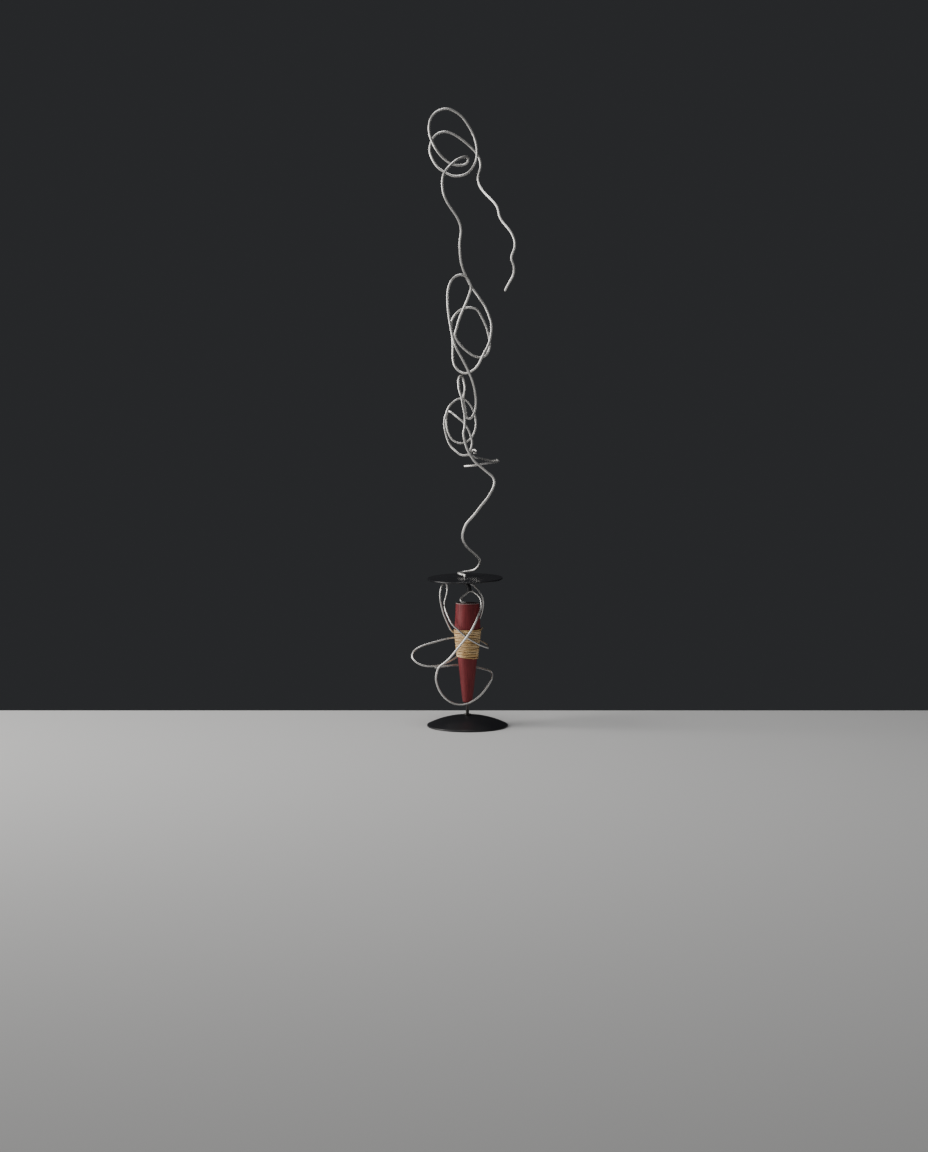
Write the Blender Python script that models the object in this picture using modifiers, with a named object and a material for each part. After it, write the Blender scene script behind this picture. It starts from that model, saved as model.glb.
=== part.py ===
"""Candle holder sculpture of bent steel wire over a bound wooden cone.

A low dome of black steel carries a thin rod, and the rod carries a slim turned
cone with its point down. A cane binding is wound round the cone. Two wires run
round the cone and hold up a thin black pan for a candle. Two more wires rise
from the pan in loops, like smoke.

Metres, +Z up, the origin on the floor at the centre of the base, and the front
towards -Y.
"""
import math

import bpy
import numpy as np
from mathutils import Matrix, Vector

# Base, rod and collar
BASE_DIAMETER = 0.162
BASE_EDGE = 0.003
BASE_HEIGHT = 0.022
EDGE_CHAMFER = 0.0005
ROD_DIAMETER = 0.0064
ROD_SOCKET = 0.012
ROD_SHOWING = 0.025
ROD_IN_CONE = 0.060
COLLAR_DIAMETER = 0.016
COLLAR_THICKNESS = 0.0018

# Cone and binding
CONE_LENGTH = 0.199
CONE_SHOULDER = 0.150
CONE_WIDEST_DIAMETER = 0.0516
CONE_TOP_DIAMETER = 0.0466
CONE_LOWER_DIAMETER = 0.0196
CONE_RIM_CHAMFER = 0.0008
CONE_TIP_ROUND = 0.0035
BINDING_DROP = 0.051
BINDING_HEIGHT = 0.060
BINDING_THICKNESS = 0.002

# Pan and the stub that carries it
PAN_DIAMETER = 0.151
PAN_THICKNESS = 0.003
PAN_LIFT = 0.0474
PAN_SHIFT = -0.005
PAN_NOD = math.radians(3.0)
PAN_LEAN = math.radians(-0.7)
STUB_DIAMETER = 0.0098
STUB_OFFSET = 0.0035

# Wires
SMOKE_HEIGHT = 0.938
SMOKE_DEPTH_SHARE = 1.8
SMOKE_WIRE_DIAMETER = 0.0052
RING_WIRE_DIAMETER = 0.0044
FRONT_WIRE_DIAMETER = 0.0042
BACK_WIRE_DIAMETER = 0.0036
END_STRAIGHT = 0.003

# Clearance between pieces that touch, and how far the straight facets of a bent wire
# cut inside its route
GAP = 0.0003
WIRE_SAG = 0.0005

# Facets
BASE_STEPS = 48
PAN_STEPS = 56
CONE_STEPS = 40
ROD_STEPS = 20
DOME_RINGS = 8
TIP_RINGS = 3
WIRE_BEVEL_RESOLUTION = 2
WIRE_TURN = math.radians(17.0)
WIRE_RUN = 0.024
WIRE_SHORTEST_RUN = 0.003
SPLINE_SAMPLES = 12
MERGE_DISTANCE = 0.00001

# The wires are drawn from the front, as an eye at this distance and height sees them
EYE_DISTANCE = 3.4
EYE_HEIGHT = 0.551

# Heights that follow from the dimensions
CONE_BOTTOM = BASE_HEIGHT + ROD_SHOWING
CONE_TOP = CONE_BOTTOM + CONE_LENGTH
PAN_UNDERSIDE = CONE_TOP + PAN_LIFT
PAN_TOP = PAN_UNDERSIDE + PAN_THICKNESS
BORE_RADIUS = ROD_DIAMETER / 2 + GAP
GIRTH = CONE_WIDEST_DIAMETER / 2 + BINDING_THICKNESS

# Smoke wire: across, height over the pan and depth, in the millimetres of its drawing
SMOKE_ROUTE = [
    (-10, 6, 4), (-16, 8, 8), (-18, 9, 13), (-13, 10, 18), (-2, 12, 19),
    (14, 16, 16), (23, 25, 12), (25, 34, 9), (20, 42, 6), (8, 53, 1), (-4, 66, -5),
    (-10, 81, -9), (-8, 94, -12), (-2, 108, -14), (11, 123, -15), (26, 142, -15), (41, 161, -14),
    (50, 177, -12), (54, 191, -10), (51, 201, -9), (42, 209, -8), (29, 220, -8), (15, 232, -8),
    (6, 245, -8), (-2, 261, -8), (-6, 276, -8), (-8, 288, -8), (-6, 300, -8), (-5, 313, -8),
    (-6, 329, -9), (-9, 344, -9), (-12, 361, -9), (-16, 374, -8), (-18, 387, -6), (-18, 397, -3),
    (-15, 403, 2), (-10, 401, 7), (-7, 392, 8), (-5, 380, 6), (-7, 367, 2), (-8, 355, 0),
    (-6, 343, 0), (-4, 332, 0), (-2, 322, 1), (4, 318, 1), (10, 323, 1), (15, 334, 1),
    (17, 349, 0), (16, 365, -3), (13, 382, -6), (7, 401, -11), (-2, 421, -16), (-13, 442, -19),
    (-24, 463, -20), (-30, 483, -19), (-34, 503, -18), (-38, 530, -17), (-40, 555, -16),
    (-39, 574, -16), (-34, 591, -16), (-25, 602, -15), (-14, 606, -14), (-4, 603, -13),
    (3, 593, -11), (7, 582, -9), (4, 568, -7), (-3, 550, -4), (-11, 531, -2), (-18, 513, 0),
    (-23, 495, 2), (-25, 486, 3), (-22, 477, 5), (-13, 464, 8), (-1, 453, 10), (12, 444, 12),
    (24, 441, 13), (36, 444, 14), (43, 455, 15), (45, 468, 16), (43, 483, 16), (39, 498, 16),
    (33, 513, 16), (26, 526, 16), (18, 537, 15), (9, 540, 14), (-2, 540, 14), (-15, 535, 15),
    (-26, 524, 16), (-32, 511, 17), (-32, 496, 17), (-30, 478, 17), (-29, 459, 15), (-29, 439, 12),
    (-25, 423, 9), (-16, 413, 7), (-6, 409, 5), (4, 411, 3), (16, 419, 1), (25, 432, -1),
    (33, 449, -3), (41, 464, -4), (46, 480, -5), (48, 497, -5), (47, 512, -4), (42, 527, -2),
    (35, 543, 1), (25, 558, 3), (15, 572, 5), (6, 585, 6), (-1, 599, 6), (-8, 615, 4),
    (-13, 633, 1), (-15, 653, -3), (-15, 675, -7), (-13, 695, -11), (-16, 710, -14), (-24, 726, -17),
    (-37, 745, -20), (-46, 763, -22), (-50, 781, -22), (-50, 797, -21), (-46, 811, -19),
    (-36, 824, -16), (-26, 833, -12), (-16, 839, -8), (-6, 842, -4), (0, 840, 0), (1, 833, 2),
    (-5, 827, 2), (-16, 825, 0), (-30, 827, -2), (-42, 834, -4), (-54, 845, -5), (-64, 859, -5),
    (-71, 873, -4), (-76, 888, -3), (-77, 902, -1), (-74, 917, 1), (-65, 930, 3), (-54, 936, 5),
    (-40, 938, 7), (-26, 933, 9), (-12, 923, 11), (-1, 909, 12), (9, 892, 13), (16, 874, 13),
    (19, 855, 12), (18, 838, 11), (11, 822, 10), (-1, 809, 9), (-14, 804, 9), (-29, 804, 9),
    (-43, 810, 10), (-58, 820, 12), (-69, 835, 14), (-75, 851, 17), (-74, 867, 19), (-67, 882, 21),
    (-54, 891, 23), (-38, 891, 25), (-24, 885, 27), (-8, 874, 28), (7, 861, 29), (18, 849, 29),
    (25, 835, 28), (26, 820, 26), (22, 805, 23), (22, 792, 20), (28, 778, 16), (39, 765, 11),
    (51, 753, 6), (60, 740, 2), (64, 724, -2), (71, 711, -5), (82, 698, -9), (91, 684, -12),
    (95, 668, -14), (92, 653, -15), (88, 639, -15), (92, 626, -14), (93, 613, -12), (89, 600, -9),
    (82, 588, -6), (75, 574, -2),
]

# Ring wire, in the same drawing: a small curl, a double ring, a place where it rests
# behind the smoke wire, and a flat open ring
RING_SEAT = (3, 243, -5)
RING_ROUTE = [
    (12, 250, 4), (15, 249, 5), (17, 251, 7), (16, 255, 9), (13, 256, 11), (10, 254, 12),
    (8, 251, 10), (6, 251, 7), (5, 255, 3), (7, 259, 1), (9, 266, 1), (9, 274, 1),
    (7, 282, 1), (4, 291, 1), (0, 299, 1), (-5, 307, 1), (-13, 315, 2), (-22, 322, 4),
    (-30, 329, 7), (-37, 333, 10), (-40, 330, 14), (-42, 321, 16), (-42, 309, 16), (-40, 296, 15),
    (-36, 285, 14), (-30, 276, 13), (-22, 271, 12), (-12, 269, 11), (-2, 272, 11), (6, 278, 11),
    (12, 287, 11), (16, 298, 11), (17, 311, 11), (15, 324, 11), (11, 335, 11), (6, 345, 10),
    (-1, 353, 9), (-10, 358, 8), (-20, 357, 7), (-29, 351, 5), (-37, 342, 4), (-42, 330, 4),
    (-46, 316, 4), (-46, 301, 4), (-43, 287, 4), (-38, 271, 3), (-31, 260, 1), (-21, 251, -2),
    (-11, 245, -4), RING_SEAT, (15, 241, -3), (23, 239, 5), (32, 237, 15), (42, 235, 26),
    (52, 234, 35), (59, 235, 38), (62, 233, 34), (59, 231, 26), (51, 230, 17), (41, 229, 10),
    (28, 227, 5), (18, 225, 3), (7, 224, 5), (-6, 223, 10),
]

# Lower wires: across and depth in girths of the binding, and a level that is 0 at the
# cone's lower end, 1 at its top and 2 at the underside of the pan
FRONT_FOOT = [(-0.16, -0.47), (-0.34, -0.54)]
FRONT_ROUTE = [
    (-0.48, 1.097, -0.50), (-0.45, 1.177, -0.40), (-0.29, 1.287, -0.25), (-0.04, 1.418, -0.07),
    (0.22, 1.494, 0.00), (0.45, 1.456, 0.00), (0.65, 1.367, -0.11), (0.86, 1.245, -0.25),
    (0.99, 1.042, -0.43), (0.96, 0.939, -0.61), (0.77, 0.869, -0.90), (0.46, 0.770, -1.19),
    (-0.12, 0.644, -1.29), (-0.71, 0.541, -1.15), (-1.41, 0.426, -0.90), (-1.85, 0.377, -0.76),
    (-2.07, 0.349, -0.68), (-2.19, 0.307, -0.65), (-2.27, 0.244, -0.61), (-2.18, 0.177, -0.61),
    (-1.96, 0.105, -0.61), (-1.61, 0.043, -0.61), (-1.18, -0.001, -0.61), (-0.57, -0.025, -0.61),
    (0.09, -0.009, -0.58), (0.65, 0.037, -0.50), (1.18, 0.111, -0.29), (1.61, 0.201, 0.00),
    (1.78, 0.254, 0.22), (1.73, 0.302, 0.43), (1.40, 0.328, 0.65), (0.97, 0.344, 0.83),
    (0.50, 0.356, 0.90), (0.00, 0.367, 0.90), (-0.58, 0.375, 0.76), (-1.27, 0.370, 0.50),
    (-1.83, 0.360, 0.32), (-2.35, 0.350, 0.18),
]
BACK_ROUTE = [
    (-0.99, 0.703, 0.52), (-1.17, 0.722, 0.29),
    (-1.40, 0.782, 0.14), (-1.68, 0.873, 0.00), (-1.88, 0.971, -0.07), (-1.97, 1.245, -0.07),
    (-1.93, 1.544, 0.00), (-1.82, 1.751, 0.11), (-1.67, 1.857, 0.29), (-1.53, 1.810, 0.47),
    (-1.45, 1.641, 0.54), (-1.50, 1.354, 0.43), (-1.63, 1.072, 0.18), (-1.63, 0.955, -0.07),
    (-1.49, 0.893, -0.32), (-1.29, 0.829, -0.58), (-1.04, 0.773, -0.79), (-0.71, 0.732, -0.94),
    (-0.17, 0.663, -1.06), (0.32, 0.618, -0.99), (0.81, 0.581, -0.76), (1.26, 0.557, -0.43),
    (1.51, 0.551, -0.11), (1.50, 0.569, 0.18), (1.29, 0.593, 0.43), (0.87, 0.625, 0.76),
    (0.36, 0.648, 1.01), (-0.22, 0.658, 1.06), (-0.72, 0.654, 0.86), (-1.08, 0.649, 0.72),
    (-1.51, 0.639, 0.65), (-2.05, 0.619, 0.65), (-2.75, 0.591, 0.61), (-3.35, 0.562, 0.43),
    (-3.75, 0.530, 0.22), (-3.94, 0.496, -0.04), (-3.99, 0.463, -0.25), (-3.88, 0.429, -0.43),
    (-3.62, 0.396, -0.58), (-3.18, 0.371, -0.65), (-2.66, 0.362, -0.58), (-2.17, 0.368, -0.40),
    (-1.78, 0.381, -0.18), (-1.47, 0.400, 0.04), (-1.15, 0.422, 0.32), (-0.76, 0.457, 0.65),
    (-0.29, 0.523, 1.03), (0.00, 0.593, 1.24), (0.25, 0.668, 1.31), (0.54, 0.754, 1.15),
    (0.81, 0.827, 0.86), (1.01, 0.894, 0.58), (1.11, 0.965, 0.32), (1.12, 1.105, 0.18),
    (0.99, 1.350, 0.18), (0.77, 1.544, 0.25), (0.50, 1.709, 0.32), (0.22, 1.835, 0.36),
]
BACK_END = (0.06, 0.38)
TUCK_DROP = 0.007
TUCK_BEARINGS = [math.radians(bearing) for bearing in (88, 108, 128)]


def clear_scene():
    """Remove every object, so that the script can run again."""
    for found in list(bpy.data.objects):
        bpy.data.objects.remove(found, do_unlink=True)


def make_material(name, colour, metallic, roughness):
    """A plain Principled material."""
    material = bpy.data.materials.new(name)
    material.use_nodes = True
    shader = material.node_tree.nodes["Principled BSDF"]
    shader.inputs["Base Color"].default_value = (*colour, 1.0)
    shader.inputs["Metallic"].default_value = metallic
    shader.inputs["Roughness"].default_value = roughness
    return material


def add_object(name, data, material, collection):
    """Wrap mesh or curve data in an object of the sculpture's collection."""
    data.materials.append(material)
    piece = bpy.data.objects.new(name, data)
    collection.objects.link(piece)
    return piece


def turned(name, profile, steps, material, collection, closed=False):
    """Turn a profile of (radius, height) points, given top to bottom, round the Z axis."""
    count = len(profile)
    edges = [(i, i + 1) for i in range(count - 1)]
    if closed:
        edges.append((count - 1, 0))
    mesh = bpy.data.meshes.new(name)
    mesh.from_pydata([(radius, 0.0, height) for radius, height in profile], edges, [])
    piece = add_object(name, mesh, material, collection)
    screw = piece.modifiers.new("Turn", "SCREW")
    screw.axis = "Z"
    screw.steps = steps
    screw.render_steps = steps
    screw.use_merge_vertices = True
    screw.merge_threshold = MERGE_DISTANCE
    screw.use_smooth_shade = True
    return piece


def arc_points(centre, radius, start, end, count):
    """Points (across, up) on an arc between two angles, both ends included."""
    points = []
    for i in range(count + 1):
        angle = start + (end - start) * i / count
        points.append((centre[0] + radius * math.cos(angle), centre[1] + radius * math.sin(angle)))
    return points


def smooth_route(points):
    """Read many points from a natural cubic spline through the chosen ones."""
    knots = np.array([tuple(point) for point in points])
    spans = np.linalg.norm(np.diff(knots, axis=0), axis=1)
    count = len(knots)
    matrix = np.zeros((count, count))
    bends = np.zeros((count, 3))
    matrix[0, 0] = 1.0
    matrix[-1, -1] = 1.0
    for i in range(1, count - 1):
        matrix[i, i - 1:i + 2] = (spans[i - 1], 2 * (spans[i - 1] + spans[i]), spans[i])
        ahead = (knots[i + 1] - knots[i]) / spans[i]
        behind = (knots[i] - knots[i - 1]) / spans[i - 1]
        bends[i] = 6 * (ahead - behind)
    curvature = np.linalg.solve(matrix, bends)
    route = []
    for i, span in enumerate(spans):
        for step in range(SPLINE_SAMPLES):
            b = step / SPLINE_SAMPLES
            a = 1 - b
            bow = ((a ** 3 - a) * curvature[i] + (b ** 3 - b) * curvature[i + 1]) * span ** 2 / 6
            route.append(Vector(a * knots[i] + b * knots[i + 1] + bow))
    route.append(Vector(knots[-1]))
    return route


def thin_out(route):
    """Keep both end spans whole, and between them a point wherever the route turns or runs on."""
    first = SPLINE_SAMPLES
    last = len(route) - 1 - SPLINE_SAMPLES
    kept = [route[0], route[first]]
    heading = (route[first] - route[first - 1]).normalized()
    turned_by = 0.0
    run = 0.0
    for before, here in zip(route[first:last - 1], route[first + 1:last]):
        step = here - before
        turned_by += heading.angle(step, 0.0)
        heading = step.normalized()
        run += step.length
        if turned_by >= WIRE_TURN or run >= WIRE_RUN:
            kept.append(here)
            turned_by = 0.0
            run = 0.0
    if run < WIRE_SHORTEST_RUN and len(kept) > 2:
        kept.pop()
    return kept + [route[last], route[-1]]


def wire(name, points, diameter, material, collection):
    """A round wire with flat ends along a smooth route through the points."""
    curve = bpy.data.curves.new(name, "CURVE")
    curve.dimensions = "3D"
    curve.bevel_depth = diameter / 2
    curve.bevel_resolution = WIRE_BEVEL_RESOLUTION
    curve.use_fill_caps = True
    kept = thin_out(smooth_route(points))
    spline = curve.splines.new("POLY")
    spline.points.add(len(kept) - 1)
    for point, place in zip(spline.points, kept):
        point.co = (*place, 1.0)
    spline.use_smooth = True
    return add_object(name, curve, material, collection)


def on_sight_line(across, height, depth):
    """Set a point of the front drawing at its depth, moved along its line from the eye."""
    spread = 1 + depth / EYE_DISTANCE
    return Vector((across * spread, depth, EYE_HEIGHT + (height - EYE_HEIGHT) * spread))


def cone_radius(height):
    """Radius of the cone's side at a height over the floor."""
    above_tip = height - CONE_BOTTOM
    lower = CONE_LOWER_DIAMETER / 2
    widest = CONE_WIDEST_DIAMETER / 2
    top = CONE_TOP_DIAMETER / 2
    if above_tip < CONE_SHOULDER:
        return lower + (widest - lower) * above_tip / CONE_SHOULDER
    return widest + (top - widest) * (above_tip - CONE_SHOULDER) / (CONE_LENGTH - CONE_SHOULDER)


def pan_placement():
    """Place and tilt of the pan, with its local origin at the centre of its underside."""
    tilt = Matrix.Rotation(PAN_NOD, 4, "X") @ Matrix.Rotation(PAN_LEAN, 4, "Y")
    return Matrix.Translation((PAN_SHIFT, 0.0, PAN_UNDERSIDE)) @ tilt


def pan_face(across, depth, lift):
    """Point over or under the pan at a place in plan, measured along the pan's own axis."""
    placement = pan_placement()
    normal = placement.to_3x3() @ Vector((0.0, 0.0, 1.0))
    centre = placement.translation + normal * lift
    drop = (normal.x * (across - centre.x) + normal.y * (depth - centre.y)) / normal.z
    return Vector((across, depth, centre.z - drop))


def lower_point(across, level, depth):
    """Point of a lower wire, from its shares of the binding's girth and the two heights."""
    if level <= 1:
        height = CONE_BOTTOM + level * CONE_LENGTH
    else:
        height = CONE_TOP + (level - 1) * PAN_LIFT
    return on_sight_line(across * GIRTH, height, depth * GIRTH)


def smoke_points(route):
    """Points of an upper wire, scaled so that the smoke wire's top has its height."""
    scale = SMOKE_HEIGHT / max(height for across, height, depth in SMOKE_ROUTE)
    return [on_sight_line(across * scale, PAN_TOP + height * scale, depth * scale * SMOKE_DEPTH_SHARE)
            for across, height, depth in route]


def make_base(material, collection):
    """Domed steel disc with an upright edge and a blind socket for the rod."""
    radius = BASE_DIAMETER / 2
    rise = BASE_HEIGHT - BASE_EDGE
    sphere = (radius ** 2 + rise ** 2) / (2 * rise)
    centre = (0.0, BASE_HEIGHT - sphere)
    start = math.acos(BORE_RADIUS / sphere)
    end = math.acos(radius / sphere)
    floor = BASE_HEIGHT - ROD_SOCKET
    profile = [(0.0, floor), (BORE_RADIUS, floor)]
    profile += arc_points(centre, sphere, start, end, DOME_RINGS)
    profile += [(radius, EDGE_CHAMFER), (radius - EDGE_CHAMFER, 0.0), (0.0, 0.0)]
    return turned("base", profile, BASE_STEPS, material, collection)


def make_collar(material, collection):
    """Flat washer round the rod, on top of the dome."""
    outer = COLLAR_DIAMETER / 2
    bottom = BASE_HEIGHT + GAP
    top = bottom + COLLAR_THICKNESS
    profile = [(BORE_RADIUS, top), (outer, top), (outer, bottom), (BORE_RADIUS, bottom)]
    return turned("collar", profile, ROD_STEPS, material, collection, closed=True)


def make_rod(material, collection):
    """Straight rod from the base's socket into the cone's bore."""
    bottom = BASE_HEIGHT - ROD_SOCKET + GAP
    top = CONE_BOTTOM + ROD_IN_CONE - GAP
    bpy.ops.mesh.primitive_cylinder_add(
        vertices=ROD_STEPS, radius=ROD_DIAMETER / 2, depth=top - bottom,
        location=(0.0, 0.0, (top + bottom) / 2))
    rod = bpy.context.object
    rod.name = "rod"
    rod.data.name = "rod"
    rod.data.materials.append(material)
    rod.data.shade_smooth()
    for holder in list(rod.users_collection):
        holder.objects.unlink(rod)
    collection.objects.link(rod)
    return rod


def make_cone(material, collection):
    """Turned wooden cone, point down, with a crisp top rim and a bore for the rod."""
    top = CONE_TOP_DIAMETER / 2
    lower = CONE_LOWER_DIAMETER / 2
    shoulder = CONE_BOTTOM + CONE_SHOULDER
    tip = (lower - CONE_TIP_ROUND, CONE_BOTTOM + CONE_TIP_ROUND)
    bore_end = CONE_BOTTOM + ROD_IN_CONE
    profile = [(0.0, CONE_TOP), (top - CONE_RIM_CHAMFER, CONE_TOP), (top, CONE_TOP - CONE_RIM_CHAMFER)]
    profile += [(cone_radius(shoulder), shoulder)]
    profile += arc_points(tip, CONE_TIP_ROUND, 0.0, -math.pi / 2, TIP_RINGS)
    profile += [(BORE_RADIUS, CONE_BOTTOM), (BORE_RADIUS, bore_end), (0.0, bore_end)]
    return turned("cone", profile, CONE_STEPS, material, collection)


def make_binding(material, collection):
    """Sleeve of wound cane that follows the cone's side."""
    top = CONE_TOP - BINDING_DROP
    bottom = top - BINDING_HEIGHT
    soft = BINDING_THICKNESS / 2
    shoulder = CONE_BOTTOM + CONE_SHOULDER
    heights = [top - soft, bottom + soft]
    if bottom + soft < shoulder < top - soft:
        heights.insert(1, shoulder)
    profile = [(cone_radius(top) + GAP, top), (cone_radius(top) + soft, top)]
    profile += [(cone_radius(height) + BINDING_THICKNESS, height) for height in heights]
    profile += [(cone_radius(bottom) + soft, bottom), (cone_radius(bottom) + GAP, bottom)]
    if bottom < shoulder < top:
        profile.append((cone_radius(shoulder) + GAP, shoulder))
    return turned("binding", profile, CONE_STEPS, material, collection, closed=True)


def make_pan(material, collection):
    """Thin round plate with broken edges, tilted a little to the front."""
    radius = PAN_DIAMETER / 2
    profile = [(0.0, PAN_THICKNESS), (radius - EDGE_CHAMFER, PAN_THICKNESS)]
    profile += [(radius, PAN_THICKNESS - EDGE_CHAMFER), (radius, EDGE_CHAMFER)]
    profile += [(radius - EDGE_CHAMFER, 0.0), (0.0, 0.0)]
    pan = turned("pan", profile, PAN_STEPS, material, collection)
    pan.matrix_world = pan_placement()
    return pan


def make_stub(carrier, material, collection):
    """Short leaning stub between the pan's underside and the top of the wire that carries it."""
    under_pan = pan_face(PAN_SHIFT, 0.0, -GAP)
    below_pan = pan_face(PAN_SHIFT, 0.0, -GAP - END_STRAIGHT)
    highest = max(smooth_route(carrier), key=lambda point: point.z)
    on_wire = highest + Vector((-STUB_OFFSET, 0.0, FRONT_WIRE_DIAMETER / 2 + GAP))
    over_wire = on_wire + Vector((0.0, 0.0, END_STRAIGHT))
    points = [under_pan, below_pan, (below_pan + over_wire) / 2, over_wire, on_wire]
    return wire("pan_stub", points, STUB_DIAMETER, material, collection)


def ring_points():
    """Ring wire, with the place where it rests against the back of the smoke wire."""
    points = smoke_points(RING_ROUTE)
    seat = RING_ROUTE.index(RING_SEAT)
    drawn = points[seat]
    smoke = smooth_route(smoke_points(SMOKE_ROUTE))
    carrier = min(smoke, key=lambda point: math.hypot(point.x - drawn.x, point.z - drawn.z))
    reach = (SMOKE_WIRE_DIAMETER + RING_WIRE_DIAMETER) / 2 + GAP
    points[seat] = carrier + Vector((0.0, reach, 0.0))
    return points


def front_points():
    """Front lower wire, from its foot on the cone's top to its free end."""
    rest = CONE_TOP + FRONT_WIRE_DIAMETER / 2 + GAP
    foot = [Vector((across * GIRTH, depth * GIRTH, rest)) for across, depth in FRONT_FOOT]
    return foot + [lower_point(*share) for share in FRONT_ROUTE]


def smoke_foot():
    """Start of the smoke wire, upright on the middle of the pan."""
    lifts = (PAN_THICKNESS + GAP, PAN_THICKNESS + GAP + END_STRAIGHT)
    return [pan_face(PAN_SHIFT, 0.0, lift) for lift in lifts]


def back_points():
    """Back lower wire, from its end laid on the back of the binding to the pan's underside."""
    height = CONE_TOP - BINDING_DROP - TUCK_DROP
    reach = cone_radius(height) + BINDING_THICKNESS + BACK_WIRE_DIAMETER / 2 + GAP + WIRE_SAG
    tuck = [Vector((reach * math.cos(bearing), reach * math.sin(bearing), height))
            for bearing in TUCK_BEARINGS]
    across, depth = BACK_END
    end = [pan_face(across * GIRTH, depth * GIRTH, -lift) for lift in (GAP + END_STRAIGHT, GAP)]
    return tuck + [lower_point(*share) for share in BACK_ROUTE] + end


def build():
    """Make the whole sculpture."""
    clear_scene()
    sculpture = bpy.data.collections.new("candle_holder_sculpture")
    bpy.context.scene.collection.children.link(sculpture)

    black_paint = make_material("black_paint", (0.012, 0.012, 0.014), 0.0, 0.30)
    dark_steel = make_material("dark_steel", (0.05, 0.05, 0.052), 0.8, 0.40)
    red_wood = make_material("red_wood", (0.16, 0.028, 0.030), 0.0, 0.45)
    cane = make_material("cane", (0.62, 0.43, 0.22), 0.0, 0.65)
    bright_steel = make_material("bright_steel", (0.78, 0.77, 0.74), 1.0, 0.28)

    make_base(black_paint, sculpture)
    make_collar(dark_steel, sculpture)
    make_rod(dark_steel, sculpture)
    make_cone(red_wood, sculpture)
    make_binding(cane, sculpture)
    make_pan(black_paint, sculpture)
    make_stub(front_points(), black_paint, sculpture)

    smoke = smoke_foot() + smoke_points(SMOKE_ROUTE)
    wire("smoke_wire", smoke, SMOKE_WIRE_DIAMETER, bright_steel, sculpture)
    wire("ring_wire", ring_points(), RING_WIRE_DIAMETER, bright_steel, sculpture)
    wire("lower_wire_front", front_points(), FRONT_WIRE_DIAMETER, bright_steel, sculpture)
    wire("lower_wire_back", back_points(), BACK_WIRE_DIAMETER, bright_steel, sculpture)


build()
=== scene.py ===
"""Looks of the wire candle holder sculpture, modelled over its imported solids.

Metres, +Z up, the front towards -Y, as in the solids.
"""

import math

import bpy
import numpy as np
from mathutils import Matrix, Vector


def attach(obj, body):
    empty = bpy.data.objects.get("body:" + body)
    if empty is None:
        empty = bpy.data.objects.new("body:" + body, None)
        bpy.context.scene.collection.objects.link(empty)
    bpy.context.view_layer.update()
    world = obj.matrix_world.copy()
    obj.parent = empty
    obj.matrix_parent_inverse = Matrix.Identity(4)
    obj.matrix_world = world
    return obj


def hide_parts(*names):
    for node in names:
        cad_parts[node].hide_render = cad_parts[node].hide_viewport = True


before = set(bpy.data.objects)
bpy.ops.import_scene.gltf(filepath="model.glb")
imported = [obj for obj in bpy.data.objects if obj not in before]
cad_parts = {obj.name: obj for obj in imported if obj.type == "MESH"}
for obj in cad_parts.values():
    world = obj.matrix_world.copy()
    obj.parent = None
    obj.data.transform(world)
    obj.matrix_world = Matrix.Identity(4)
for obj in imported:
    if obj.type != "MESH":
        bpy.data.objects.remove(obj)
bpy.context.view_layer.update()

# Sizes of the sculpture, as in the solids
BASE_DIAMETER = 0.162
BASE_EDGE = 0.003
BASE_HEIGHT = 0.022
ROD_DIAMETER = 0.0064
ROD_SOCKET = 0.012
ROD_SHOWING = 0.025
ROD_IN_CONE = 0.060
COLLAR_DIAMETER = 0.016
COLLAR_THICKNESS = 0.0018
CONE_LENGTH = 0.199
CONE_SHOULDER = 0.150
CONE_WIDEST_DIAMETER = 0.0516
CONE_TOP_DIAMETER = 0.0466
CONE_LOWER_DIAMETER = 0.0196
CONE_TIP_ROUND = 0.0035
BINDING_DROP = 0.051
BINDING_HEIGHT = 0.060
BINDING_THICKNESS = 0.002
PAN_DIAMETER = 0.151
PAN_THICKNESS = 0.003
PAN_LIFT = 0.0474
PAN_SHIFT = -0.005
PAN_NOD = math.radians(3.0)
PAN_LEAN = math.radians(-0.7)
STUB_DIAMETER = 0.0098
STUB_OFFSET = 0.0035
SMOKE_HEIGHT = 0.938
SMOKE_DEPTH_SHARE = 1.8
SMOKE_WIRE_DIAMETER = 0.0052
RING_WIRE_DIAMETER = 0.0044
FRONT_WIRE_DIAMETER = 0.0042
BACK_WIRE_DIAMETER = 0.0036
END_STRAIGHT = 0.003
GAP = 0.0003
WIRE_SAG = 0.0005
EYE_DISTANCE = 3.4
EYE_HEIGHT = 0.551

CONE_BOTTOM = BASE_HEIGHT + ROD_SHOWING
CONE_TOP = CONE_BOTTOM + CONE_LENGTH
BINDING_TOP = CONE_TOP - BINDING_DROP
BINDING_BOTTOM = BINDING_TOP - BINDING_HEIGHT
PAN_UNDERSIDE = CONE_TOP + PAN_LIFT
PAN_TOP = PAN_UNDERSIDE + PAN_THICKNESS
BORE_RADIUS = ROD_DIAMETER / 2 + GAP
GIRTH = CONE_WIDEST_DIAMETER / 2 + BINDING_THICKNESS

# Sizes of the cane, which the solids show as one sleeve
CANE_TURNS = 16
CANE_WIDTH = 0.0035
CANE_THICKNESS = 0.0023
CANE_SLANT = 0.0045
SLANTED_SHARE = 0.7
EDGE_TURN_THICKNESS = 0.0024
EDGE_TURN_RISE = 0.0009
EDGE_TURN_LIFT = 0.0013
TIE_THICKNESS = 0.0016
CANE_END_THICKNESS = 0.0018
CANE_CUT = 0.0002

# Unevenness of the cane's turns: how far, and its pace in radians a turn
CANE_WAVES = [(0.00030, 8.7), (0.00012, 23.0)]
CANE_SWELL = 0.16
SWELL_PACE = 10.3
SWELL_START = 1.0

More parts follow.
